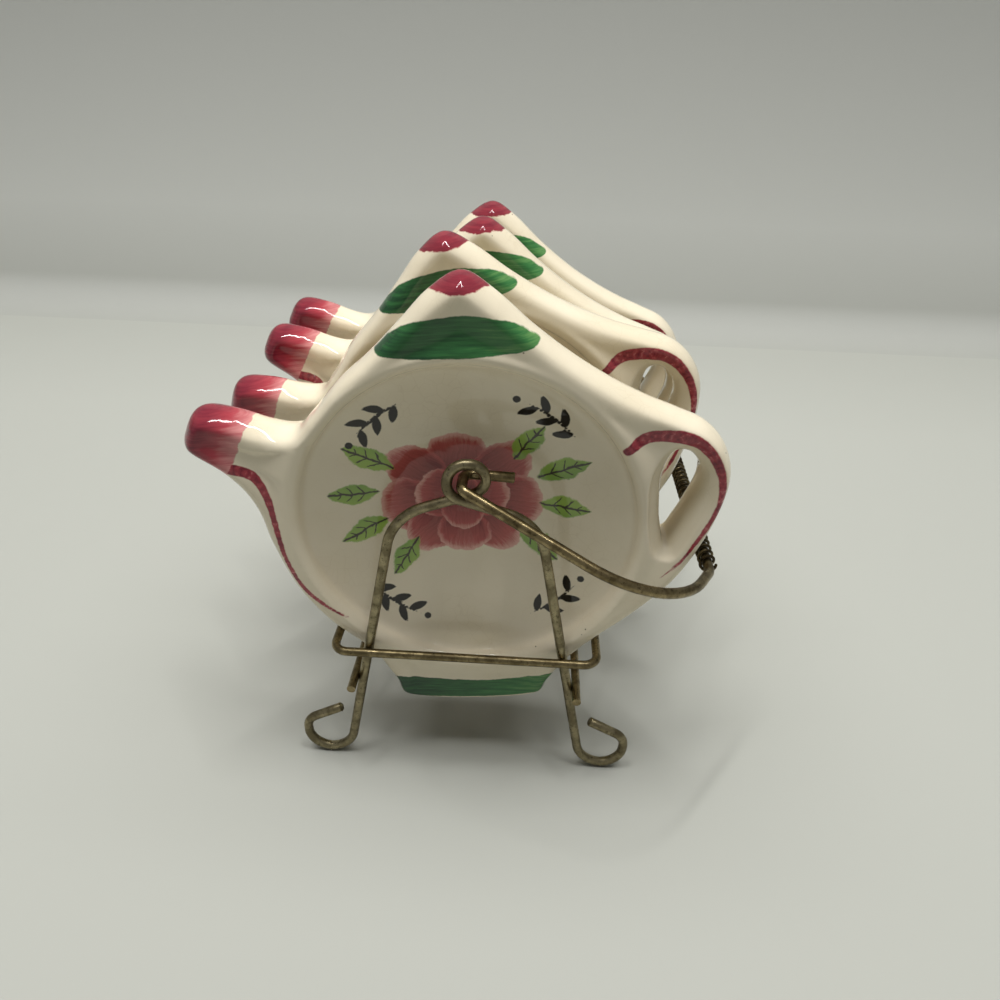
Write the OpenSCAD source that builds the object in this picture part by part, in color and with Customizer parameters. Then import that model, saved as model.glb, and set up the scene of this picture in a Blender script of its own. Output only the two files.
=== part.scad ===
// Set of teapot-shaped tea bag rests standing in a wire stand with a swinging bail.
// X runs to the right, Y away from the viewer, Z up. The origin is on the table, midway between the two
// frames and midway between their legs.

/* [Stand] */
// Thickness of the wire of the frames and the bail
wire_d = 2; // [1.6:0.1:2.2]
// Thickness of the wire of the tray ring and the rails
tray_wire_d = 1.8; // [1.4:0.1:2.2]
// Height of the outer corner where a leg turns into the crown
shoulder_z = 63.8; // [61.4:0.2:65.4]
// Half the width of the frame at that corner
shoulder_x = 13.7; // [12.5:0.2:15.3]
// Half the width of the frame where the leg reaches the table
leg_foot_x = 25.9; // [24.1:0.2:27.5]
// Half the width of the frame over the middle of its outermost wire
foot_reach = 35.1; // [33.9:0.2:37.1]
// Height of the tray ring
tray_z = 31.4; // [29.4:0.1:33]
// Half the width of the tray ring
tray_half_w = 27.05; // [26.3:0.05:28]
// Bend radius of the tray ring's corners
tray_corner_r = 2.9; // [2.4:0.1:6]
// Height of the two rails
rail_z = 23.2; // [20:0.1:26]
// How far the rails stick out past the frames
rail_stub = 4.2; // [2:0.1:6]

/* [Eyes] */
// Height of the middle of the eyes
eye_z = 71.9; // [71.1:0.1:73.5]
// Radius of an eye, to the middle of its wire
eye_r = 3.4; // [3.3:0.05:3.8]

/* [Bail] */
// Clearance between the grip and the handles that it swings past
grip_clearance = 0.4; // [0.3:0.1:4]
// Angle below the horizontal at which the bail lies
bail_rest_angle = 21.5; // [17:0.5:25]
// How far the arms splay outwards from the eyes, in degrees
bail_splay = 19; // [15:0.5:20.5]
// Radius of the shoulder bend of the bail
bail_shoulder_r = 20; // [12:0.5:21]
// Length of the straight stub behind each eye
bail_stub = 6.8; // [3:0.1:8]

/* [Grip spring] */
// Thickness of the spring's wire
spring_wire_d = 0.6; // [0.4:0.05:0.65]
// Number of curls
spring_curls = 45; // [30:1:45]

/* [Rests] */
// Radius of the round body
body_r = 37.2; // [36.4:0.1:38]
// Width of the rim round the well
rim_w = 5.7; // [5.2:0.1:8]
// Depth of the well at its middle
well_depth = 8.5; // [6:0.1:9]
// Thickness of a rest from its rim to its foot ring
rest_depth = 18; // [17:0.1:19]
// Height of the knob above the middle of the body
knob_reach = 48.5; // [45.5:0.1:50.5]
// Distance from the middle of the body to the tip of the spout
spout_reach = 55.3; // [52.5:0.1:58.5]
// Distance from the middle of the body to the outside of the handle
handle_reach = 50.1; // [48.5:0.1:51.5]
// Distance from the middle of the body to the corners of the flat foot
foot_corner_reach = 46.2; // [44:0.1:47.5]
// Width of the handle's strip
handle_w = 5.4; // [4.8:0.1:6]
// How each rest is turned in the stand, in degrees
rest_turns = [4, 11, 3.5, 2.5];
// Gap in front of each rest, the first one behind the front frame
rest_gaps = [1.5, 8.1, 1.7, 1.3];
// Gap from the rearmost rest to the rear frame
rear_gap = 10.4; // [8.4:0.1:20]

/* [Hidden] */
$fn = 48;

wire_r = wire_d / 2;
tray_wire_r = tray_wire_d / 2;
// The row of rests and its gaps give the distance between the two frames
rack_depth = len(rest_turns) * rest_depth + rest_gaps * [for (gap = rest_gaps) 1] + rear_gap;
frame_y = rack_depth / 2;
// How far one welded wire sinks into the other
weld_bite = 0.12;
// Clearance between pieces that only rest on each other
seat_gap = 0.3;
// Clearance round the grip inside its spring
spring_gap = 0.03;
// Sides of a swept wire, and the most that it turns from one ring to the next, in degrees
wire_sides = 12;
bend_step = 18;

brass = "#857a55";
steel_spring = "#4a4632";
glaze = "#e4dfcf";

// Vectors
function unit(v) = v / norm(v);
function turn_between(a, b) = acos(max(-1, min(1, unit(a) * unit(b))));
function polar(r, a) = [r * cos(a), r * sin(a)];
function mix(a, b, t) = a + (b - a) * t;
function backwards(list) = [for (i = [len(list) - 1 : -1 : 0]) list[i]];

// Wire bending: a path of corners, each rounded with its own bend radius. The radii of the first and the
// last point are not used. The result is a list of places and headings.
function run_dir(points, i) = unit(points[i + 1] - points[i]);
function bend_turn(points, i) = turn_between(run_dir(points, i - 1), run_dir(points, i));
function bend_cut(points, radii, i) = radii[i] * tan(bend_turn(points, i) / 2);
function bend_path(points, radii, i) =
    let (heading = run_dir(points, i - 1),
         turn = bend_turn(points, i),
         inward = unit(run_dir(points, i) - heading * cos(turn)),
         start = points[i] - heading * bend_cut(points, radii, i),
         steps = ceil(turn / bend_step))
    [for (k = [0 : steps])
        let (a = turn * k / steps)
        [start + radii[i] * (heading * sin(a) + inward * (1 - cos(a))), heading * cos(a) + inward * sin(a)]];
function wire_path(points, radii) =
    let (last = len(points) - 1)
    concat([[points[0], run_dir(points, 0)]],
           [for (i = [1 : last - 1]) each bend_path(points, radii, i)],
           [[points[last], run_dir(points, last - 1)]]);

// Ring of points round a path's place, started from the direction that is square to the path and to across
function wire_ring(place, heading, across, r, sides) =
    let (side = unit(cross(across, heading)), up = cross(heading, side))
    [for (k = [0 : sides - 1]) place + r * (side * cos(360 * k / sides) + up * sin(360 * k / sides))];

// Closed skin over rings that have equally many points, with a middle point for each end
module skin(rings, start_middle, end_middle) {
    count = len(rings[0]);
    last = len(rings) - 1;
    points = concat([start_middle], [for (ring = rings) each ring], [end_middle]);
    function at(ring, k) = 1 + ring * count + k % count;
    polyhedron(points, concat(
        [for (k = [0 : count - 1]) [0, at(0, k), at(0, k + 1)]],
        [for (ring = [0 : last - 1]) for (k = [0 : count - 1])
            each [[at(ring, k), at(ring + 1, k), at(ring + 1, k + 1)],
                  [at(ring, k), at(ring + 1, k + 1), at(ring, k + 1)]]],
        [for (k = [0 : count - 1]) [len(points) - 1, at(last, k + 1), at(last, k)]]));
}

module swept_wire(path, across, r, sides) {
    skin([for (p = path) wire_ring(p[0], p[1], across, r, sides)], path[0][0], path[len(path) - 1][0]);
}

// Frame: one side's corners from the cut end of the foot to the shoulder, then the eye
foot_heel_r = 5.8;
foot_toe_r = 5;
foot_top_r = 3.8;
foot_top_z = 9.2;
foot_end_in = 8;
foot_end_rise = 4.3;
shoulder_r = 11;
foot_z = wire_r;
side_path = [[foot_reach - foot_end_in, 0, foot_top_z + foot_end_rise],
             [foot_reach, 0, foot_top_z],
             [foot_reach, 0, foot_z],
             [leg_foot_x, 0, foot_z],
             [shoulder_x, 0, shoulder_z]];
side_radii = [0, foot_top_r, foot_toe_r, foot_heel_r, shoulder_r];

// The crown runs from the shoulder along a tangent of the eye, which is bent in equal bends at corners
// outside its circle
shoulder_to_eye = [-shoulder_x, eye_z - shoulder_z];
crown_angle = atan2(shoulder_to_eye.y, -shoulder_to_eye.x) - asin(eye_r / norm(shoulder_to_eye));
eye_bends = 4;
eye_wrap = 360 - 2 * crown_angle;
eye_corner_r = eye_r / cos(eye_wrap / eye_bends / 2);
eye_bend_share = 0.96;
eye_start = crown_angle - 90;
// At the crossing the two sides of the crown lie one wire behind the other
crossing_gap = 0.08;
crossing_shift = wire_r + crossing_gap / 2;
first_corner = polar(eye_corner_r, eye_start + eye_wrap / eye_bends / 2);
eye_shift = crossing_shift * (shoulder_x + first_corner.x) / shoulder_x;
eye_path = [for (i = [0 : eye_bends - 1])
    let (p = polar(eye_corner_r, eye_start + eye_wrap * (i + 0.5) / eye_bends))
    [p.x, mix(eye_shift, -eye_shift, i / (eye_bends - 1)), eye_z + p.y]];

frame_corners = concat([for (p = side_path) [-p.x, p.y, p.z]], eye_path, backwards(side_path));
frame_radii = concat(side_radii, [for (p = eye_path) eye_bend_share * eye_r], backwards(side_radii));

module frame_wire() {
    color(brass)
        swept_wire(wire_path(frame_corners, frame_radii), [0, 1, 0], wire_r, wire_sides);
}

module front_frame() {
    translate([0, -frame_y, 0])
        frame_wire();
}

module rear_frame() {
    translate([0, frame_y, 0])
        rotate([0, 0, 180])
            frame_wire();
}

// Tray ring: passes outside the legs. Four straights and four bends.
tray_y = frame_y + wire_r + tray_wire_r - weld_bite;

module ring_side(half_length) {
    rotate([0, 90, 0])
        translate([0, 0, -half_length])
            cylinder(r = tray_wire_r, h = 2 * half_length);
}

module tray_ring() {
    color(brass)
        translate([0, 0, tray_z])
            for (end = [-1, 1]) {
                translate([0, end * tray_y, 0])
                    ring_side(tray_half_w - tray_corner_r);
                rotate([0, 0, 90])
                    translate([0, end * tray_half_w, 0])
                        ring_side(tray_y - tray_corner_r);
                for (side = [-1, 1])
                    translate([side * (tray_half_w - tray_corner_r), end * (tray_y - tray_corner_r), 0])
                        rotate([0, 0, side > 0 ? (end > 0 ? 0 : -90) : (end > 0 ? 90 : 180)])
                            rotate_extrude(angle = 90)
                                translate([tray_corner_r, 0])
                                    circle(r = tray_wire_r);
            }
}

// Rails: welded to the outer side of the legs
leg_slope = (leg_foot_x - shoulder_x) / (shoulder_z - foot_z);
rail_x = leg_foot_x - (rail_z - foot_z) * leg_slope
    + (wire_r + tray_wire_r - weld_bite) * sqrt(1 + leg_slope * leg_slope);
rail_length = rack_depth + 2 * rail_stub;

module rail(side) {
    color(brass)
        translate([side * rail_x, -rail_length / 2, rail_z])
            rotate([-90, 0, 0])
                cylinder(r = tray_wire_r, h = rail_length);
}

module left_rail() rail(-1);
module right_rail() rail(1);

// Rests. The outline of a rest is a row of angles, each with the lobe that it belongs to and its share of
// the swell from the round body out to that lobe's reach.
KNOB = 0;
HANDLE = 1;
FOOT = 2;
SPOUT = 3;
lobe_reach = [knob_reach, handle_reach, foot_corner_reach, spout_reach];
outline_shares = [
    [-59, FOOT, 0.09], [-46, HANDLE, -0.04], [-31, HANDLE, 0.115], [-15, HANDLE, 0.41], [0, HANDLE, 0.715],
    [11, HANDLE, 0.97], [18.5, HANDLE, 1], [25, HANDLE, 0.87], [31, HANDLE, 0.605], [38.5, HANDLE, 0.34],
    [49, HANDLE, 0.16], [60, KNOB, 0.17], [71.5, KNOB, 0.37], [81, KNOB, 0.745], [88, KNOB, 1],
    [95, KNOB, 0.76], [103, KNOB, 0.39], [113.5, KNOB, 0.09], [126, SPOUT, -0.02], [138, SPOUT, -0.055],
    [146.3, SPOUT, 0.04], [149.3, SPOUT, 0.59], [151.8, SPOUT, 0.917], [156.5, SPOUT, 1],
    [161.3, SPOUT, 0.95], [165.2, SPOUT, 0.52], [172.5, SPOUT, 0.227], [184, SPOUT, 0.12],
    [200, SPOUT, 0.066], [216, SPOUT, 0.028], [231, FOOT, 0.033], [243.3, FOOT, 0.54], [249.5, FOOT, 0.98],
    [267.5, FOOT, 0.78], [286, FOOT, 0.8], [292, FOOT, 0.48]];
function swell(lobe, share) = body_r + (lobe_reach[lobe] - body_r) * share;
outline_corners = [for (p = outline_shares) polar(swell(p[1], p[2]), p[0])];

// Twice as many points on the smooth curve through the corners
function wrapped(list, i) = list[(i + len(list)) % len(list)];
function smooth(list) = [for (i = [0 : len(list) - 1]) each
    [list[i], (9 * (list[i] + wrapped(list, i + 1)) - wrapped(list, i - 1) - wrapped(list, i + 2)) / 16]];
outline = smooth(outline_corners);
function outward(list, i) =
    let (run = wrapped(list, i + 1) - wrapped(list, i - 1))
    unit([run.y, -run.x]);

// The well is round and lies a little above the middle of the body
well_r = body_r - rim_w;
well_raise = 1.6;
function well_ring(r) = [for (p = outline) [0, well_raise] + unit(p) * r];
// Widths of the rounded edge and of the rim's inner slope, which narrow where the outline nears the well
rim_roll = 3.4;
rim_roll_share = 0.45;
crest_w = 2.2;
crest_share = 0.36;
rim_at = [for (i = [0 : len(outline) - 1]) norm(outline[i]) - norm(well_ring(well_r)[i])];
roll = [for (w = rim_at) min(rim_roll, rim_roll_share * w)];
crest_at = [for (w = rim_at) min(crest_w, crest_share * w)];
function inset(share, depth) = [for (i = [0 : len(outline) - 1])
    let (p = outline[i] - outward(outline, i) * roll[i] * share)
    [p.x, p.y, -depth]];
function circle_ring(r, depth) = [for (p = outline) [each unit(p) * r, -depth]];
function rim_ring(share, depth) = [for (i = [0 : len(outline) - 1])
    let (p = [0, well_raise] + unit(outline[i]) * (well_r + crest_at[i] * share))
    [p.x, p.y, -depth]];

// Depths below the crest of the rim: the crest itself, the lobes' faces, the edges and the back
crest_in_share = 0.36;
crest_in_depth = 1.1;
well_edge_depth = 3;
face_depth = 1.3;
face_run = 10;
face_run_share = 0.6;
edge_front_depth = 6;
// The same measured from the back
edge_back_rise = 8.5;
back_face_rise = 5.5;
back_slope_rise = 2.5;
edge_back_depth = rest_depth - edge_back_rise;
back_face_depth = rest_depth - back_face_rise;
back_slope_depth = rest_depth - back_slope_rise;
edge_mid_share = 0.5;
edge_mid_depth = 0.8;
edge_start_share = 0.13;
edge_start_depth = 3;
edge_back_share = 0.3;
foot_ring_in = 7.5;
foot_ring_r = body_r - foot_ring_in;
foot_ring_w = 4;
foot_ring_draft = 1;
back_slope_w = 1.5;
recess_depth = 4.8;
floor_rise = well_depth - well_edge_depth;
function floor_ring(share) = [for (p = well_ring(well_r * share))
    [p.x, p.y, floor_rise * share * share - well_depth]];
function face_drop(i) = face_depth * min(1, max(0, norm(outline[i]) - body_r) / face_run);
front_edge = [for (i = [0 : len(outline) - 1])
    let (p = outline[i] - outward(outline, i) * roll[i])
    [p.x, p.y, -face_drop(i)]];
front_crest = rim_ring(1, 0);
front_face = [for (i = [0 : len(outline) - 1])
    let (p = mix(front_edge[i], front_crest[i], face_run_share))
    [p.x, p.y, -face_drop(i)]];

rest_rings = [
    circle_ring(foot_ring_r - foot_ring_w - foot_ring_draft, rest_depth - recess_depth),
    circle_ring(foot_ring_r - foot_ring_w, rest_depth),
    circle_ring(foot_ring_r, rest_depth),
    circle_ring(foot_ring_r + back_slope_w, back_slope_depth),
    inset(1, back_face_depth),
    inset(edge_back_share, edge_back_depth),
    inset(0, edge_front_depth),
    inset(edge_start_share, edge_start_depth),
    inset(edge_mid_share, edge_mid_depth),
    front_edge,
    front_face,
    front_crest,
    rim_ring(crest_in_share, crest_in_depth),
    floor_ring(1),
    floor_ring(0.76),
    floor_ring(0.44)];

// Handle hole: angles with a share of the way from the body out to the inside of the handle's strip, and
// rounded edges that open towards the front and the back
hole_shares = [
    [-6.4, 0.08], [-1.7, 0.32], [4, 0.6], [10.4, 0.93], [16, 1.04], [21, 0.88], [22.4, 0.54],
    [17.7, 0.13], [10, -0.07], [1.8, -0.1]];
hole_outline = smooth([for (p = hole_shares)
    polar(body_r + (handle_reach - handle_w - body_r) * p[1], p[0])]);
hole_flare = 2.2;
hole_over = 1.5;
function hole_ring(flare_share, depth) = [for (i = [0 : len(hole_outline) - 1])
    let (p = hole_outline[i] + outward(hole_outline, i) * hole_flare * flare_share)
    [p.x, p.y, -depth]];
hole_rings = [
    hole_ring(1, rest_depth),
    hole_ring(0.7, back_face_depth + hole_over / 3),
    hole_ring(0.3, back_face_depth - hole_over / 2),
    hole_ring(0, edge_back_depth),
    hole_ring(0, face_depth + 2 * hole_over),
    hole_ring(0.3, face_depth + hole_over),
    hole_ring(0.95, face_depth),
    hole_ring(1.4, -hole_over)];

module rest_body() {
    color(glaze)
        rotate([90, 0, 0])
            difference() {
                skin(rest_rings, [0, 0, recess_depth - rest_depth], [0, well_raise, -well_depth]);
                skin(hole_rings, [each hole_middle, -rest_depth], [each hole_middle, hole_over]);
            }
}
hole_middle = (hole_outline[0] + hole_outline[len(hole_outline) / 2]) / 2;

// The rests stand on the two long sides of the tray ring. Each is lowered until its turned outline is one
// clearance away from either side, or from a rail.
seat_start = 6;
seat_step = 0.05;
seat_r = tray_wire_r + seat_gap;
function turned(p, a) = [p.x * cos(a) - p.y * sin(a), p.x * sin(a) + p.y * cos(a)];
function off_edge(w, a, b) =
    let (run = b - a, t = max(0, min(1, (w - a) * run / (run * run))))
    norm(w - a - run * t);
function off_wires(points, z) = min([for (side = [-1, 1])
    for (wire = [[tray_half_w, tray_z], [rail_x, rail_z]])
        for (i = [0 : len(points) - 1])
            off_edge([side * wire.x, wire.y - z], points[i], wrapped(points, i + 1))]);
function lowered(points, z) =
    off_wires(points, z - seat_step) < seat_r ? z : lowered(points, z - seat_step);
rest_heights = [for (a = rest_turns)
    lowered([for (p = outline) turned(p, a)], tray_z + sqrt(body_r * body_r - tray_half_w * tray_half_w)
        + seat_start)];
function rest_place(number) = [0, rest_heights[number - 1]];
function row_y(number) = -frame_y + (number - 1) * rest_depth
    + rest_gaps * [for (i = [1 : len(rest_gaps)]) i > number ? 0 : 1];

module rest(number) {
    translate([0, row_y(number), rest_heights[number - 1]])
        rotate([0, -rest_turns[number - 1], 0])
            rest_body();
}

module rest_1() rest(1);
module rest_2() rest(2);
module rest_3() rest(3);
module rest_4() rest(4);

// Bail: lies in one plane through the hinge axis, but for its stubs. Its corners are a distance from the
// axis, a place along Y, measured outwards from the frame, and a height above the plane.
hinge_left = 0.7;
hinge_drop = 0.2;
hook_r = 2;
// Half the length of the straight journal that lies in the eye
hook_half = 1.3;
// Angle at which the wire runs into the grip, and how far behind the frame that corner lies
grip_lead_angle = 61;
grip_corner_in = 3;
grip_corner_r = 5.3;
// How far the end of a stub stands above the bail's plane
stub_rise = 3;

stub_in = hook_half + hook_r;
arm_out = hook_half + hook_r * tan((90 - bail_splay) / 2);
// Rings per curl and sides of the spring's wire
spring_rings = 8;
spring_sides = 6;
// The grip clears the farthest point of every handle
spring_outer_r = (wire_r + spring_gap + spring_wire_d / 2) / cos(180 / spring_rings) + spring_wire_d / 2;
handle_far = max([for (number = [1 : len(rest_turns)])
    for (p = outline)
        let (q = rest_place(number) + turned(p, rest_turns[number - 1]) - [-hinge_left, eye_z - hinge_drop])
        if (q.x > body_r / 2 && q.y > -body_r) norm(q)]);
bail_reach = handle_far + grip_clearance + spring_outer_r;
// The shoulder is where the splayed arm meets the line that leads back into the grip
shoulder_far = (bail_reach * tan(grip_lead_angle) - grip_corner_in - arm_out)
    / (tan(bail_splay) + tan(grip_lead_angle));
shoulder_out = arm_out + shoulder_far * tan(bail_splay);
bail_side = [[hook_r + bail_stub, -stub_in, stub_rise],
             [0, -stub_in, 0],
             [0, arm_out, 0],
             [shoulder_far, shoulder_out, 0],
             [bail_reach, -grip_corner_in, 0]];
bail_radii = [0, hook_r, hook_r, bail_shoulder_r, grip_corner_r];

function bail_corner(p, end) =
    [-hinge_left + p.x * cos(bail_rest_angle) + p.z * sin(bail_rest_angle), end * (frame_y + p.y),
     eye_z - hinge_drop - p.x * sin(bail_rest_angle) + p.z * cos(bail_rest_angle)];

module bail_handle() {
    corners = concat([for (p = bail_side) bail_corner(p, -1)],
                     [for (p = backwards(bail_side)) bail_corner(p, 1)]);
    color(brass)
        swept_wire(wire_path(corners, concat(bail_radii, backwards(bail_radii))),
                   [sin(bail_rest_angle), 0, cos(bail_rest_angle)], wire_r, wire_sides);
}

// Grip spring: an open-wound tube round the straight part of the bail, with straight ends
// Distance from the bend to the first curl
spring_end_in = 0.1;
spring_r = (wire_r + spring_gap + spring_wire_d / 2) / cos(180 / spring_rings);
spring_in = grip_corner_in + grip_corner_r * tan((90 - grip_lead_angle) / 2) + spring_end_in;
spring_length = rack_depth - 2 * spring_in - spring_wire_d;
spring_pitch = spring_length / spring_curls;
function curl_place(a) =
    [spring_r * cos(a), spring_pitch * a / 360 - spring_length / 2, -spring_r * sin(a)];
function curl_heading(a) =
    unit([-spring_r * sin(a), spring_pitch / 360 * 180 / PI, -spring_r * cos(a)]);
spring_turn = 360 * spring_curls;
spring_path = concat(
    [[curl_place(0) - curl_heading(0) * spring_wire_d, curl_heading(0)]],
    [for (k = [0 : spring_curls * spring_rings])
        [curl_place(360 * k / spring_rings), curl_heading(360 * k / spring_rings)]],
    [[curl_place(spring_turn) + curl_heading(spring_turn) * spring_wire_d, curl_heading(spring_turn)]]);
// Least gap of the spring to itself, measured between the points of neighbouring curls
spring_self_gap = min([for (i = [0 : len(spring_path) - 1])
                       for (j = [i + spring_rings / 2 : min(len(spring_path) - 1, i + 2 * spring_rings)])
                       norm(spring_path[i][0] - spring_path[j][0])]) - spring_wire_d;
echo(rest_heights = rest_heights, bail_reach = bail_reach, spring_self_gap = spring_self_gap);

module grip_spring() {
    place = bail_corner([bail_reach, 0, 0], 0);
    color(steel_spring)
        translate([place.x, 0, place.z])
            swept_wire(spring_path, [0, 1, 0], spring_wire_d / 2, spring_sides);
}

front_frame();
rear_frame();
tray_ring();
left_rail();
right_rail();
bail_handle();
grip_spring();
rest_1();
rest_2();
rest_3();
rest_4();
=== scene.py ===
# Four teapot-shaped tea bag rests in a brass-plated wire stand: the fine shapes and the finishes.
import math

import bpy
import numpy as np
from mathutils import Matrix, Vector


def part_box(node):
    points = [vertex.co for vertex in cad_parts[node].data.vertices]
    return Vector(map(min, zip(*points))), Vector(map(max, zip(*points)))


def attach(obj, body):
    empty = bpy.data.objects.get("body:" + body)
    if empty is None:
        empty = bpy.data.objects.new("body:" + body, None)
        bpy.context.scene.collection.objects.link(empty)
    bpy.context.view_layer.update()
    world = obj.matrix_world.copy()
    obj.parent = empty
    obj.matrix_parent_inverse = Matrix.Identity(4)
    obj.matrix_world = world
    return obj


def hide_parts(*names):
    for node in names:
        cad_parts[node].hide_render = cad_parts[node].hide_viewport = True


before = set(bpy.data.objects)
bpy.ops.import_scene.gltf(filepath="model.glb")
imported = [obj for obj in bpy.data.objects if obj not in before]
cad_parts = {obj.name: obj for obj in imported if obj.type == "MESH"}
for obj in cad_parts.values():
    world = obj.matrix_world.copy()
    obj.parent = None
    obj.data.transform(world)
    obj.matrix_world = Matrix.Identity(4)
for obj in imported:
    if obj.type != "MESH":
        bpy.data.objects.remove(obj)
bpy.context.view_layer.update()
mm = 0.001
print("frame loaded with", len(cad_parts), "nodes")


# Small helpers

def linear(code):
    # sRGB hex to linear: v/12.92 up to 0.04045, else ((v + 0.055)/1.055)^2.4
    value = [int(code[i:i + 2], 16) / 255 for i in (1, 3, 5)]
    return [v / 12.92 if v <= 0.04045 else ((v + 0.055) / 1.055) ** 2.4 for v in value] + [1.0]


def unit(v):
    # v over its own length
    return v / np.linalg.norm(v, axis=-1, keepdims=True)


def addNode(tree, kind, inputs=(), stops=(), **settings):
    # one node: settings are its properties, stops a colour ramp's places and hex colours from low to high,
    # and an input is a value or a socket to link from
    node = tree.nodes.new(kind)
    for name, value in settings.items():
        setattr(node, name, value)
    for k, (place, code) in enumerate(stops):
        ramp = node.color_ramp.elements
        if k == 0:
            ramp.remove(ramp[1])
        stop = ramp.new(place) if k else ramp[0]
        stop.position = place
        stop.color = linear(code)
    for key, value in dict(inputs).items():
        if isinstance(value, bpy.types.NodeSocket):
            tree.links.new(value, node.inputs[key])
        else:
            node.inputs[key].default_value = value
    return node


def newMaterial(name):
    material = bpy.data.materials.new(name)
    material.use_nodes = True
    material.node_tree.nodes.clear()
    return material, material.node_tree


def makeObject(name, points, faces):
    # a smooth-shaded object in the scene, with its points in metres
    mesh = bpy.data.meshes.new(name)
    mesh.from_pydata(points.tolist(), [], faces)
    mesh.update()
    mesh.polygons.foreach_set("use_smooth", np.ones(len(mesh.polygons), bool))
    piece = bpy.data.objects.new(name, mesh)
    bpy.context.scene.collection.objects.link(piece)
    return piece


def closedSkin(name, rings, scale=mm):
    # rings (rows, columns, 3) run right-handed about the way from the first row to the last;
    # quads join neighbouring rows, and a fan to the middle closes each end
    rows, columns = rings.shape[:2]
    r, c = np.meshgrid(np.arange(rows - 1), np.arange(columns), indexing="ij")
    n = (c + 1) % columns
    quads = np.stack([r * columns + c, r * columns + n, (r + 1) * columns + n, (r + 1) * columns + c], -1)
    c, n = c[0], n[0]
    start = np.stack([n, c, np.full(columns, rows * columns)], -1)
    end = (rows - 1) * columns + np.stack([c, n, np.full(columns, columns + 1)], -1)
    points = np.vstack([rings.reshape(-1, 3), rings[:1].mean(1), rings[-1:].mean(1)])
    return makeObject(name, points * scale, quads.reshape(-1, 4).tolist() + start.tolist() + end.tolist())


# Bent wire

def bentPath(corners, radii, step=5):
    # straight runs joined by circular bends: p = start + r(t sin a + n(1 - cos a)), heading t cos a + n sin a
    corners = np.array(corners, float)
    runs = unit(np.diff(corners, axis=0))
    places, headings = [corners[:1]], [runs[:1]]
    for corner, before, after, radius in zip(corners[1:-1], runs[:-1], runs[1:], radii[1:-1]):
        turn = math.acos(np.clip(before @ after, -1, 1))
        inward = unit(after - before * math.cos(turn))
        a = np.linspace(0, turn, int(math.degrees(turn) / step) + 2)[:, None]
        start = corner - before * radius * math.tan(turn / 2)
        places.append(start + radius * (before * np.sin(a) + inward * (1 - np.cos(a))))
        headings.append(before * np.cos(a) + inward * np.sin(a))
    return np.vstack(places + [corners[-1:]]), np.vstack(headings + [runs[-1:]])


def sweptWire(name, places, headings, across, radius, sides=24, chamfer=0.18):
    # a circle r(s cos a + u sin a) carried along the path, with s square to heading and across, u square
    # to both; two narrower rings at each end break the edge of the cut
    side = unit(np.cross(across, headings))
    up = np.cross(headings, side)
    a = np.linspace(0, 2 * math.pi, sides, endpoint=False)[None, :, None]
    ring = side[:, None] * np.cos(a) + up[:, None] * np.sin(a)
    rings = places[:, None] + radius * ring
    cut = (radius - chamfer) / radius
    first = [rings[0] + headings[0] * chamfer, places[0] + (rings[0] - places[0]) * cut]
    last = [rings[-1] - headings[-1] * chamfer, places[-1] + (rings[-1] - places[-1]) * cut]
    return closedSkin(name, np.stack([first[1], first[0], *rings[1:-1], last[0], last[1]]))


stand = {
    "wireRadius": 1.0,
    "rackDepth": 95.0,
    "shoulder": (13.7, 63.8),
    "legFootX": 25.9,
    "footReach": 35.1,
    "footTopZ": 9.2,
    "footEndIn": 8.0,
    "footEndRise": 4.3,
    "footBends": (0, 3.8, 5.0, 5.8, 11.0),
    "eyeZ": 71.9,
    "eyeRadius": 3.4,
    "eyeCorners": 4,
    "eyeBendShare": 0.96,
    "crossingGap": 0.08,
}


def framePath():
    # foot curl, leg, shoulder and crown of one side, four bends for the eye, then the other side; the eye
    # steps sideways by its wire's thickness from its first bend to its last, so that the wire passes itself
    w, (sx, sz), r, n = stand["wireRadius"], stand["shoulder"], stand["eyeRadius"], stand["eyeCorners"]
    side = [(stand["footReach"] - stand["footEndIn"], 0, stand["footTopZ"] + stand["footEndRise"]),
            (stand["footReach"], 0, stand["footTopZ"]),
            (stand["footReach"], 0, w),
            (stand["legFootX"], 0, w),
            (sx, 0, sz)]
    rise = stand["eyeZ"] - sz
    crown = math.atan2(rise, sx) - math.asin(r / math.hypot(sx, rise))
    wrap = 2 * math.pi - 2 * crown
    cornerR = r / math.cos(wrap / n / 2)
    a = crown - math.pi / 2 + wrap * (np.arange(n) + 0.5) / n
    x, z = cornerR * np.cos(a), stand["eyeZ"] + cornerR * np.sin(a)
    shift = (w + stand["crossingGap"] / 2) * (sx + x[0]) / sx
    eye = np.stack([x, shift * np.linspace(1, -1, n), z], 1)
    left = np.array(side) * (-1, 1, 1)
    bends = stand["footBends"]
    corners = np.vstack([left, eye, side[::-1]])
    return bentPath(corners, [*bends, *[r * stand["eyeBendShare"]] * n, *bends[::-1]])


framePlaces, frameHeadings = framePath()
halfDepth = stand["rackDepth"] / 2
frontFrame = sweptWire("frontFrameWire", framePlaces - (0, halfDepth, 0), frameHeadings, (0, 1, 0),
                       stand["wireRadius"])
turned = np.array([-1, -1, 1])
rearFrame = sweptWire("rearFrameWire", framePlaces * turned + (0, halfDepth, 0), frameHeadings * turned,
                      (0, 1, 0), stand["wireRadius"])
print("frames bent")

bail = {
    "reach": 51.2,
    "restAngle": 21.5,
    "splay": 19.0,
    "shoulderBend": 20.2,
    "stub": 6.8,
    "stubRise": 3.0,
    "hinge": (-0.7, 71.7),
    "hookBend": 2.0,
    "journalHalf": 1.3,
    "leadAngle": 61.0,
    "gripCornerIn": 3.0,
    "gripBend": 5.3,
}


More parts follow.
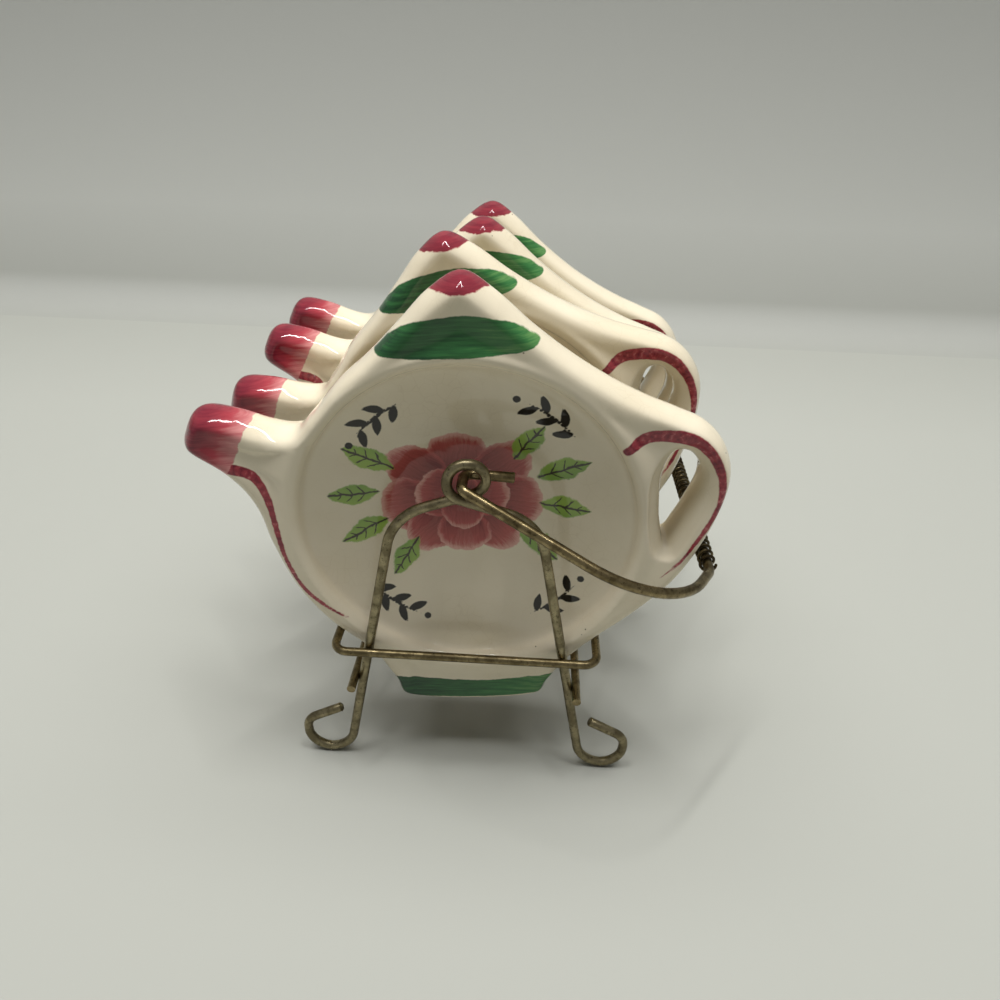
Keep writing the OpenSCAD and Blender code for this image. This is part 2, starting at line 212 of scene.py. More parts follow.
def bailPoint(far, out, rise, end):
    # far from the hinge axis in the bail's tilted plane and rise above it, out from the frame's plane
    a = math.radians(bail["restAngle"])
    x, z = bail["hinge"]
    return (x + far * math.cos(a) + rise * math.sin(a), end * (halfDepth + out),
            z - far * math.sin(a) + rise * math.cos(a))


def bailPath():
    # stub, hook round the eye, splayed arm, shoulder and grip, then the same again mirrored
    splay, lead = math.radians(bail["splay"]), math.radians(bail["leadAngle"])
    stubIn = bail["journalHalf"] + bail["hookBend"]
    armOut = bail["journalHalf"] + bail["hookBend"] * math.tan((math.pi / 2 - splay) / 2)
    far = bail["reach"] * math.tan(lead) - bail["gripCornerIn"] - armOut
    far /= math.tan(splay) + math.tan(lead)
    side = [(bail["hookBend"] + bail["stub"], -stubIn, bail["stubRise"]), (0, -stubIn, 0), (0, armOut, 0),
            (far, armOut + far * math.tan(splay), 0), (bail["reach"], -bail["gripCornerIn"], 0)]
    bends = [0, bail["hookBend"], bail["hookBend"], bail["shoulderBend"], bail["gripBend"]]
    corners = [bailPoint(*p, -1) for p in side] + [bailPoint(*p, 1) for p in side[::-1]]
    return bentPath(corners, bends + bends[::-1])


tilt = math.radians(bail["restAngle"])
bailWire = sweptWire("bailWire", *bailPath(), (math.sin(tilt), 0, math.cos(tilt)), stand["wireRadius"])
print("bail bent")

spring = {
    "wireRadius": 0.3,
    "wireSides": 12,
    "chamfer": 0.08,
    "clearance": 0.11,
    "curls": 45,
    "ringsPerCurl": 28,
    "endIn": 0.1,
}


def springPath():
    # helix (R cos a, pitch a / 2 pi, -R sin a) about the grip, with a short straight run at each end
    w = spring["wireRadius"]
    radius = stand["wireRadius"] + spring["clearance"] + w
    bendIn = bail["gripBend"] * math.tan(math.radians(90 - bail["leadAngle"]) / 2)
    length = stand["rackDepth"] - 2 * (bail["gripCornerIn"] + bendIn + spring["endIn"]) - 2 * w
    a = np.linspace(0, 2 * math.pi * spring["curls"], spring["curls"] * spring["ringsPerCurl"] + 1)
    pitch = length / spring["curls"]
    places = np.stack([radius * np.cos(a), pitch * a / (2 * math.pi) - length / 2, -radius * np.sin(a)], 1)
    headings = unit(np.stack([-radius * np.sin(a), np.full_like(a, pitch / (2 * math.pi)),
                              -radius * np.cos(a)], 1))
    grip = bailPoint(bail["reach"], 0, 0, 0)
    places = np.vstack([places[:1] - headings[:1] * 2 * w, places, places[-1:] + headings[-1:] * 2 * w])
    return places + (grip[0], 0, grip[2]), np.vstack([headings[:1], headings, headings[-1:]])


gripSpring = sweptWire("gripSpringWire", *springPath(), (0, 1, 0), spring["wireRadius"],
                       spring["wireSides"], spring["chamfer"])
print("spring wound")


# Rests

rest = {
    "bodyRadius": 37.2,
    "wellRadius": 31.5,
    "wellRaise": 1.6,
    "wellDepth": 8.5,
    "slopeDepth": 3.0,
    "depth": 18.0,
    "reach": {"knob": 48.5, "handle": 50.1, "foot": 46.2, "spout": 55.3},
    "faceDrop": 1.3,
    "faceRun": 10.0,
    "handleWidth": 5.4,
    "holeFlare": 2.2,
    "rollAngles": (-180, -60, 50, 62, 100, 120, 140, 150, 170, 180),
    "rolls": (3.6, 3.4, 3.4, 5.5, 5.5, 4.0, 4.0, 5.2, 5.2, 3.6),
    "rollShare": 0.45,
    "crestWidth": 2.2,
    "crestShare": 0.36,
    "lipDepth": 1.1,
    "footRing": 29.7,
    "turns": (4, 11, 3.5, 2.5),
    "voxel": 0.47,
    "smoothing": 5,
    "smoothingShare": 0.5,
}
# back of a rest: radius from the foot ring's, and depth from the back, both in mm
backRows = ((-29.1, 4.8), (-5.0, 4.8), (-4.0, 0.0), (0.0, 0.0), (1.5, 2.5))
# side of a rest: share of the roll, and depth in mm, from the back and from the front
edgeBackShares = ((1.0, 5.5), (0.3, 8.5))
edgeFrontShares = ((0.0, 6.0), (0.13, 3.0), (0.5, 0.8))
# well's floor, as shares of its radius, and the band and the lip beside its crest, as shares of the way
floorShares = (1.0, 0.76, 0.44, 0.2, 0.02)
bandShare, lipShare = 0.6, 0.36
# handle hole: share of the flare, and depth in mm, from the back and from the front
holeBackShares = ((1.0, 0.0), (0.7, 5.0), (0.3, 6.25), (0.0, 8.5))
holeFrontShares = ((0.0, 4.3), (0.3, 2.8), (0.95, 1.3), (1.4, -1.5))
# angle, lobe, and share of the swell from the round body out to that lobe's reach
outlineShares = (
    (-59, "foot", 0.09), (-46, "handle", -0.04), (-31, "handle", 0.115), (-15, "handle", 0.41),
    (0, "handle", 0.715), (11, "handle", 0.97), (18.5, "handle", 1), (25, "handle", 0.87),
    (31, "handle", 0.605), (38.5, "handle", 0.34), (49, "handle", 0.16), (60, "knob", 0.17),
    (71.5, "knob", 0.37), (81, "knob", 0.745), (88, "knob", 1), (95, "knob", 0.76), (103, "knob", 0.39),
    (113.5, "knob", 0.09), (126, "spout", -0.02), (138, "spout", -0.055), (146.3, "spout", 0.04),
    (149.3, "spout", 0.59), (151.8, "spout", 0.917), (156.5, "spout", 1), (161.3, "spout", 0.95),
    (165.2, "spout", 0.52), (172.5, "spout", 0.227), (184, "spout", 0.12), (200, "spout", 0.066),
    (216, "spout", 0.028), (231, "foot", 0.033), (243.3, "foot", 0.54), (249.5, "foot", 0.98),
    (267.5, "foot", 0.78), (286, "foot", 0.8), (292, "foot", 0.48))
# angle and share of the way from the body out to the inside of the handle
holeShares = ((-6.4, 0.08), (-1.7, 0.32), (4, 0.6), (10.4, 0.93), (16, 1.04), (21, 0.88), (22.4, 0.54),
              (17.7, 0.13), (10, -0.07), (1.8, -0.1))


def polar(radius, degrees):
    # (r cos a, r sin a)
    a = np.radians(degrees)
    return np.stack([radius * np.cos(a), radius * np.sin(a)], -1)


def closedCurve(points, pieces):
    # a smooth curve through a closed row: half of 2b + (c-a)t + (2a-5b+4c-d)t2 + (3b-a-3c+d)t3
    t = (np.arange(pieces) / pieces)[None, :, None]
    a, b, c, d = (np.roll(points, k, 0)[:, None] for k in (1, 0, -1, -2))
    curve = 2 * b + (c - a) * t + (2 * a - 5 * b + 4 * c - d) * t ** 2 + (3 * b - a - 3 * c + d) * t ** 3
    return 0.5 * curve.reshape(-1, points.shape[1])


def outward(curve):
    # from the way along the curve (u, v) to (v, -u), which points out of a curve that runs anticlockwise
    run = np.roll(curve, -1, 0) - np.roll(curve, 1, 0)
    return unit(np.stack([run[:, 1], -run[:, 0]], 1))


def acrossRings(rings, pieces):
    # the same curve run from ring to ring, with knots spaced by the root of the distance, so that
    # neighbouring rings of very different spacing don't overshoot
    p = np.concatenate([2 * rings[:1] - rings[1:2], rings, 2 * rings[-1:] - rings[-2:-1]])
    a, b, c, d = p[:-3], p[1:-2], p[2:-1], p[3:]
    gap = [np.sqrt(np.linalg.norm(q - o, axis=-1, keepdims=True)) + 1e-6 for o, q in ((a, b), (b, c), (c, d))]
    m = gap[1] * ((b - a) / gap[0] - (c - a) / (gap[0] + gap[1])) + (c - b)
    n = (c - b) - gap[1] * ((d - b) / (gap[1] + gap[2]) - (d - c) / gap[2])
    rows = []
    for t in np.arange(pieces) / pieces:
        rows.append(b * (2 * t ** 3 - 3 * t ** 2 + 1) + c * (3 * t ** 2 - 2 * t ** 3)
                    + m * (t ** 3 - 2 * t ** 2 + t) + n * (t ** 3 - t ** 2))
    smooth = np.stack(rows, 1).reshape(-1, *rings.shape[1:])
    return np.concatenate([smooth, rings[-1:]])


def restOutline(pieces):
    # at each angle the radius is b + (reach - b) times the share, with b the body's, and a smooth curve
    # runs through these places
    corners = [polar(rest["bodyRadius"] + (rest["reach"][lobe] - rest["bodyRadius"]) * share, angle)
               for angle, lobe, share in outlineShares]
    return closedCurve(np.array(corners), pieces)


def restRings():
    # rows from the recess in the back, over the foot ring, the rounded edge and the rim, into the well:
    # an inset row lies a share of the roll inside the outline, a circle at one radius, and the well's
    # floor goes from slopeDepth to wellDepth by 1 - q2, with q its share of the well's radius
    curve = restOutline(12)
    away = np.linalg.norm(curve, axis=1, keepdims=True)
    normal = outward(curve)
    well, deep, d = rest["wellRadius"], rest["wellDepth"], rest["depth"]
    raised = np.array([0, rest["wellRaise"]])
    rim = away - np.linalg.norm(raised + curve / away * well, axis=1, keepdims=True)
    angle = np.degrees(np.arctan2(curve[:, 1:], curve[:, :1]))
    roll = np.minimum(np.interp(angle, rest["rollAngles"], rest["rolls"]), rest["rollShare"] * rim)
    crestOut = np.minimum(rest["crestWidth"], rest["crestShare"] * rim)
    face = rest["faceDrop"] * np.clip((away - rest["bodyRadius"]) / rest["faceRun"], 0, 1)

    def inset(share, depth):
        p = curve - normal * roll * share
        return np.stack([p[:, 0], np.broadcast_to(np.ravel(depth), len(p)), p[:, 1]], 1)

    def circle(radius, depth):
        p = curve / away * radius
        return np.stack([p[:, 0], np.full(len(p), depth), p[:, 1]], 1)

    def wellRing(radius, depth):
        return circle(radius, depth) + (0, 0, rest["wellRaise"])

    back = [circle(rest["footRing"] + out, d - depth) for out, depth in backRows]
    side = [inset(share, d - depth) for share, depth in edgeBackShares]
    side += [inset(share, depth) for share, depth in edgeFrontShares]
    edge, crest = inset(1, face), wellRing(well + crestOut, 0)
    band = edge + (crest - edge) * bandShare
    band[:, 1] = face[:, 0]
    lip = wellRing(well + lipShare * crestOut, rest["lipDepth"])
    floor = [wellRing(well * share, deep - (deep - rest["slopeDepth"]) * share ** 2) for share in floorShares]
    return np.stack([*back, *side, edge, band, crest, lip, *floor])


def holeRings():
    # the hole's curve has radius b + reach times the share, with b the body's and reach the way to the
    # inside of the handle, and flares by a share of holeFlare at both faces
    reach = rest["reach"]["handle"] - rest["handleWidth"] - rest["bodyRadius"]
    corners = np.array([polar(rest["bodyRadius"] + reach * share, angle) for angle, share in holeShares])
    curve = closedCurve(corners, 8)
    normal = outward(curve)
    d = rest["depth"]
    rows = [(share, d - depth) for share, depth in holeBackShares] + list(holeFrontShares)
    out = normal * rest["holeFlare"]
    return np.stack([np.insert(curve + out * share, 1, depth, axis=1) for share, depth in rows])


def castRest():
    # the skin with its handle hole cut, rebuilt in even small faces that are laid back on that skin and
    # then smoothed a little, as glaze rounds every edge; worked in millimetres
    body = closedSkin("restSkin", acrossRings(restRings(), 5), 1)
    hole = closedSkin("restHole", acrossRings(holeRings(), 4), 1)
    body.modifiers.new("handleHole", "BOOLEAN").object = hole
    fine = body.copy()
    bpy.context.scene.collection.objects.link(fine)
    remesh = fine.modifiers.new("evenFaces", "REMESH")
    remesh.mode = "VOXEL"
    remesh.voxel_size = rest["voxel"]
    fine.modifiers.new("layBack", "SHRINKWRAP").target = body
    soften = fine.modifiers.new("glazeRounding", "SMOOTH")
    soften.iterations = rest["smoothing"]
    soften.factor = rest["smoothingShare"]
    bpy.context.view_layer.update()
    mesh = bpy.data.meshes.new_from_object(fine.evaluated_get(bpy.context.evaluated_depsgraph_get()))
    for piece in (fine, body, hole):
        bpy.data.objects.remove(piece)
    return mesh


castMesh = castRest()
castPoints = np.empty(len(castMesh.vertices) * 3)
castMesh.vertices.foreach_get("co", castPoints)
castPoints = castPoints.reshape(-1, 3)
print("rest cast with", len(castPoints), "points,", len(castMesh.polygons), "faces")

# brush lines, as x, z and half the width in mm: down the flank from the spout, and round the handle
brushLines = (
    ((-43.4, 14.8, 1.1), (-40.3, 13.9, 1.0), (-38.3, 12.2, 0.85), (-36.9, 7.8, 0.75), (-36.5, 1.8, 0.65),
     (-35.9, -5.2, 0.6), (-33.7, -11.9, 0.6), (-29.7, -16.5, 0.5), (-25.6, -19.6, 0.2)),
    ((29.4, 17.6, 0.8), (31.6, 19.3, 1.05), (34.1, 20.2, 1.25), (38.4, 19.9, 1.35), (42.0, 18.5, 1.2),
     (44.7, 15.7, 1.0), (46.5, 11.5, 0.8), (46.7, 6.9, 0.65), (45.3, 2.4, 0.55), (43.0, -2.1, 0.45),
     (40.2, -6.7, 0.35), (36.1, -10.7, 0.15)))
# green patches, as x, z in mm: the lens on the lid and the strip on the foot
greenPatches = (
    ((-14.6, 36.4), (-11.4, 38.5), (-8.4, 40.4), (-5.0, 41.6), (0.0, 42.1), (4.8, 42.0), (9.6, 40.9),
     (12.8, 38.9), (14.4, 37.3), (11.1, 36.0), (4.4, 35.4), (-2.2, 35.3), (-8.9, 35.4)),
    ((-17.6, -36.4), (-10.5, -37.2), (0.3, -37.5), (9.0, -36.7), (15.6, -35.2), (16.6, -37.6), (14.6, -40.2),
     (4.3, -41.9), (-9.2, -42.3), (-16.4, -41.6), (-19.0, -39.2)))
# sprigs along the slope of the well: angles in degrees, lengths in mm
sprig = {
    "middles": (127, 51, 231, 309),
    "radius": 26.4,
    "halfSpan": 13.0,
    "stem": 0.12,
    "stemSwell": 0.3,
    "leafStarts": (-10, -5.5, -1, 3.5, 8),
    "leafSpan": 6.0,
    "leafReach": 2.9,
    "leafTip": 0.1,
    "leafSwell": 0.75,
    "dotAt": 16.5,
    "dotRadius": 0.75,
    "points": 16,
}
# how far in mm from a line or a patch its edge is measured
lineMargin, lineFar, patchFar = 12.0, 9.0, 6.0


def openCurve(points, pieces):
    # the same curve through an open row, with its ends carried on straight
    p = np.vstack([2 * points[0] - points[1], points, 2 * points[-1] - points[-2]])
    rows = closedCurve(p, pieces)[pieces:-2 * pieces]
    return np.vstack([rows, points[-1]])


def sprigStrokes():
    # four sprigs along the slope of the well: an arc for a stem, comma leaves on both sides, and a dot
    strokes = []
    t = np.linspace(0, 1, sprig["points"])
    for middle in sprig["middles"]:
        a = middle + sprig["halfSpan"] * (2 * t - 1)
        width = sprig["stem"] + sprig["stemSwell"] * np.sin(math.pi * t)
        strokes.append(np.column_stack([polar(sprig["radius"], a), width]))
        for k, start in enumerate(sprig["leafStarts"]):
            side = 1 if k % 2 else -1
            a = middle + start + sprig["leafSpan"] * t
            radius = sprig["radius"] + side * sprig["leafReach"] * t ** 0.8
            width = sprig["leafTip"] + sprig["leafSwell"] * np.sin(math.pi * t ** 0.7)
            strokes.append(np.column_stack([polar(radius, a), width]))
        dot = polar(sprig["radius"], np.array([middle + sprig["dotAt"]]))
        strokes.append(np.column_stack([dot, [sprig["dotRadius"]]]))
    return [stroke + (0, rest["wellRaise"], 0) for stroke in strokes]


def paintEdge(points, strokes):
    # signed distance in mm to the edge of the nearest stroke (below zero inside), and the way along it
    nearest = np.full(len(points), lineFar)
    along = np.zeros(len(points))
    for stroke in strokes:
        run = np.concatenate([[0], np.cumsum(np.linalg.norm(np.diff(stroke[:, :2], axis=0), axis=1))])
        reach = np.ptp(stroke[:, :2], axis=0) / 2 + lineMargin
        near = np.where((np.abs(points - stroke[:, :2].mean(0)) < reach).all(1))[0]
        gap = np.linalg.norm(points[near, None] - stroke[None, :, :2], axis=2) - stroke[None, :, 2]
        best = gap.argmin(1)
        closer = gap[np.arange(len(near)), best] < nearest[near]
        nearest[near[closer]] = gap[np.arange(len(near)), best][closer]
        along[near[closer]] = run[best[closer]]
    return nearest, along


def patchEdge(points, corners):
    # signed distance in mm to the smooth closed outline through the corners, below zero inside it:
    # |p - a - t(b - a)| with t kept between 0 and 1, and a sign from how often the outline is crossed
    a = closedCurve(np.array(corners), 6)
    b = np.roll(a, -1, 0)
    near = np.where((np.abs(points - a.mean(0)) < np.ptp(a, axis=0) / 2 + patchFar).all(1))[0]
    p, run = points[near, None], b - a
    t = np.clip(((p - a) * run).sum(2) / (run ** 2).sum(1), 0, 1)
    gap = np.linalg.norm(p - a - t[..., None] * run, axis=2).min(1)
    over = (a[:, 1] > p[..., 1]) != (b[:, 1] > p[..., 1])
    crossed = over & (p[..., 0] < a[:, 0] + (p[..., 1] - a[:, 1]) * run[:, 0] / (run[:, 1] + 1e-9))
    edge = np.full(len(points), patchFar)
    edge[near] = np.where(crossed.sum(1) % 2, -gap, gap)
    return edge


flat = castPoints[:, (0, 2)]
lineEdge, lineAlong = paintEdge(flat, [openCurve(np.array(line), 10) for line in brushLines])
inkEdge = paintEdge(flat, sprigStrokes())[0]
greenEdge = np.minimum(*[patchEdge(flat, corners) for corners in greenPatches])
print("brush strokes measured")


def placeRest(number):
    # turned about Y, and set so that its lowest point and its rim lie where the frame has them
    low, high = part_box(f"rest_{number}")
    a = math.radians(rest["turns"][number - 1])
    turn = np.array([[math.cos(a), 0, -math.sin(a)], [0, 1, 0], [math.sin(a), 0, math.cos(a)]])
    outline = np.insert(restOutline(2), 1, 0, axis=1) @ turn.T
    points = castPoints @ turn.T * mm + (0, low.y, low.z - outline[:, 2].min() * mm)
    mesh = castMesh.copy()
    mesh.vertices.foreach_set("co", points.ravel())
    mesh.polygons.foreach_set("use_smooth", np.ones(len(mesh.polygons), bool))
    for name, kind, values in (("restPlace", "FLOAT_VECTOR", castPoints), ("lineEdge", "FLOAT", lineEdge),
                               ("lineAlong", "FLOAT", lineAlong), ("inkEdge", "FLOAT", inkEdge),
                               ("greenEdge", "FLOAT", greenEdge),
                               ("castNumber", "FLOAT", np.full(len(points), float(number)))):
        data = mesh.attributes.new(name, kind, "POINT").data
        data.foreach_set("vector" if kind == "FLOAT_VECTOR" else "value", np.ravel(values).astype(np.float32))
    mesh.update()
    piece = bpy.data.objects.new(f"glazedRest{number}", mesh)
    bpy.context.scene.collection.objects.link(piece)
    return piece


rests = [placeRest(number) for number in (1, 2, 3, 4)]
print("rests placed")


# Finishes

# blotches of about 3 mm and freckles of 0.7 mm; pairs are where a pattern starts and is full
tarnish = {
    "blotchesPerMetre": 330,
    "frecklesPerMetre": 1500,
    "blotch": (0.4, 0.62),
    "freckle": (0.56, 0.68),
    "freckleStrength": 0.75,
    "wear": (0.35, 0.65),
    "roughnessUp": 0.14,
    "roughnessDown": 0.06,
    "pitStrength": 0.25,
    "pitDepth": 0.00005,
}


def tarnishedBrass(name, bright, dull, dark, roughness):
    # brass plate on steel wire, never lacquered: it mottles to olive where hands and air reach it,
    # so the eye sees soft blotches 2 to 4 mm long and small dark freckles under a worn sheen
    material, tree = newMaterial(name)
    place = addNode(tree, "ShaderNodeTexCoord").outputs["Object"]
    blotch = addNode(tree, "ShaderNodeTexNoise", {
        "Vector": place, "Scale": tarnish["blotchesPerMetre"], "Detail": 5, "Roughness": 0.62}).outputs["Fac"]
    fleck = addNode(tree, "ShaderNodeTexNoise", {
        "Vector": place, "Scale": tarnish["frecklesPerMetre"], "Detail": 3, "Roughness": 0.7}).outputs["Fac"]
    tone = addNode(tree, "ShaderNodeMapRange", {
        "Value": blotch, "From Min": tarnish["blotch"][0], "From Max": tarnish["blotch"][1]})
    metal = addNode(tree, "ShaderNodeMix", {
        "Factor": tone.outputs[0], "A": linear(dull), "B": linear(bright)}, data_type="RGBA")
    spot = addNode(tree, "ShaderNodeMapRange", {
        "Value": fleck, "From Min": tarnish["freckle"][0], "From Max": tarnish["freckle"][1],
        "To Max": tarnish["freckleStrength"]})
    colour = addNode(tree, "ShaderNodeMix", {
        "Factor": spot.outputs[0], "A": metal.outputs["Result"], "B": linear(dark)}, data_type="RGBA")
    rough = addNode(tree, "ShaderNodeMapRange", {
        "Value": blotch, "From Min": tarnish["wear"][0], "From Max": tarnish["wear"][1],
        "To Min": roughness + tarnish["roughnessUp"], "To Max": roughness - tarnish["roughnessDown"]})
    bump = addNode(tree, "ShaderNodeBump", {
        "Height": fleck, "Strength": tarnish["pitStrength"], "Distance": tarnish["pitDepth"]})
    shader = addNode(tree, "ShaderNodeBsdfPrincipled", {
        "Base Color": colour.outputs["Result"], "Metallic": 1.0, "Roughness": rough.outputs[0],
        "Normal": bump.outputs["Normal"]})
    addNode(tree, "ShaderNodeOutputMaterial", {"Surface": shader.outputs[0]})
    return material


legBrass = tarnishedBrass("tarnishedBrassFrames", "#978d6f", "#70674f", "#3a3323", 0.33)
barBrass = tarnishedBrass("tarnishedBrassBars", "#8f8160", "#655a40", "#32291a", 0.32)
bailBrass = tarnishedBrass("tarnishedBrassBail", "#918260", "#60543a", "#2e2616", 0.3)
springWire = tarnishedBrass("darkenedSpringWire", "#6e6246", "#423827", "#1d170c", 0.34)
print("metals mixed")

# The rose is built of brush-shaped petals: x, z, half length, half width in mm, angle, darkness
petals = (
    (-1.6, 13.6, 5.2, 6.2, 88, 0.35), (-9.6, 10.8, 6.6, 5.0, 142, 0.5), (6.6, 11.0, 6.6, 5.0, 40, 0.45),
    (-12.0, 3.0, 5.4, 6.2, 184, 0.3), (9.2, 3.4, 5.4, 6.2, -4, 0.35), (-7.6, -2.5, 6.0, 5.0, 226, 0.45),
    (4.6, -2.6, 6.0, 5.0, -46, 0.4), (-1.5, -3.8, 4.6, 5.6, 268, 0.25), (-5.8, 5.0, 4.8, 5.6, 168, 0.6),
    (3.0, 5.2, 4.8, 5.6, 12, 0.55), (-1.4, 1.6, 5.2, 4.4, 272, 0.7), (-1.4, 6.6, 3.4, 3.2, 90, 0.95))
# Leaves: x, z, half length, half width in mm, angle, warmth
leaves = (
    (-18.2, 14.0, 5.6, 2.5, 148, 0.8), (-22.0, 6.4, 5.2, 2.4, 178, 0.3), (-20.6, -1.8, 5.4, 2.5, 205, 0.7),
    (-13.4, -8.8, 5.2, 2.4, 236, 0.2), (12.0, 16.6, 5.2, 2.4, 52, 0.5), (18.2, 11.0, 5.6, 2.5, 24, 0.2),
    (18.6, 2.6, 5.2, 2.4, -6, 0.7), (13.4, -6.0, 5.4, 2.5, -44, 0.4))
glaze = {
    "cream": "#e7dcc3",
    "creamDeep": "#d9cbac",
    "deepPatches": (0.4, 0.7),
    "deepShare": 0.5,
    "craze": "#b8a682",
    "speck": "#4a3c26",
    "crimson": "#a53d46",
    "crimsonDark": "#6d1e2e",
    "crimsonPale": "#cf8b88",
    "petal": "#b0504c",
    "petalDark": "#6e1a1c",
    "petalPale": "#d9a598",
    "green": "#35703b",
    "greenDark": "#1c4427",
    "greenPale": "#7aa560",
    "leaf": "#67973b",
    "leafWarm": "#93b548",
    "ink": "#0e0c09",
    "bare": "#cdbb98",
    "gloss": 0.07,
    "bareRoughness": 0.75,
    "ior": 1.46,
    "waveStrength": 0.35,
    "waveDepth": 0.0003,
}
# the patterns in the glaze and the paint, in cells per mm, and two reaches and a shift in mm
grain = {
    "wobble": 0.35,
    "wobbleReach": 1.5,
    "streaks": (0.12, 0.12, 1.6),
    "wash": 0.45,
    "broad": 0.06,
    "crazing": 0.42,
    "crazingReach": 1.2,
    "pinholes": 0.2,
    "waves": 0.22,
    "hatch": 1.1,
    "shiftPerRest": (37.0, 91.0, 53.0),
}
# where the painting ends, in mm: depth of the two fronts, the spout's cap along its way out, the knob's cap
# above the middle and its rise per mm2 to the side, and the depth of the bare foot ring
limit = {
    "wellFront": (11.5, 10.5),
    "edgeFront": (5.2, 4.2),
    "spoutWay": (-0.868, 0.497, 0.0),
    "spoutCap": 44.6,
    "knobCap": 45.7,
    "knobBow": 0.006,
    "capEdge": 0.12,
    "footRing": (17.2, 17.6),
}
# how each paint lies: an edge is a pair from its outside to its inside, in mm or in shares of the shape,
# and tones run from 0 to 1 along the colours of that paint
crazing = {
    "crack": (0.035, 0.01),
    "patches": (0.42, 0.62),
    "strength": (0.02, 0.14),
}
petalPaint = {
    "ragged": 0.22,
    "edge": (1.12, 1.07),
    "cover": 0.97,
    "brush": (0.7, 7.0, 1),
    "hairs": 1.6,
    "hairTone": 0.55,
    "way": (0.75, -0.7),
    "tones": (0.12, 0.6),
    "darkening": 0.24,
    "fold": (0.82, 1.08),
    "foldPale": 0.3,
    "toneShares": (0.2, 0.55, 0.95),
}
leafPaint = {
    "ragged": 0.5,
    "edge": (1.25, 1.1),
    "cover": 0.92,
    "across": 0.9,
    "tones": (0.1, 0.5),
    "warming": (0.3, 0.5),
    "veinSlant": 0.42,
    "veinPitch": 0.21,
    "vein": (0.045, 0.02),
    "veinEnd": (0.78, 0.66),
    "rib": (0.12, 0.06),
    "ribEnd": (0.95, 0.85),
}
greenPaint = {
    "ragged": 0.5,
    "edge": (0.34, 0.16),
    "across": 16.0,
    "tones": (0.02, 0.32),
    "streakTone": 0.6,
    "toneShares": (0.32, 0.55, 0.8),
}
redPaint = {
    "ragged": 0.5,
    "edge": (0.32, 0.12),
    "capLength": 7.0,
    "capTones": (-0.3, 0.16),
    "knobTone": 0.12,
    "baseTone": 0.24,
    "streakTone": 0.5,
    "toneShares": (0.18, 0.42, 0.72),
}
inkPaint = {
    "ragged": 0.35,
    "edge": (0.24, 0.08),
    "cover": 0.98,
}
pinhole = {
    "edge": (0.045, 0.02),
    "rarity": 0.72,
    "dip": 0.5,
}


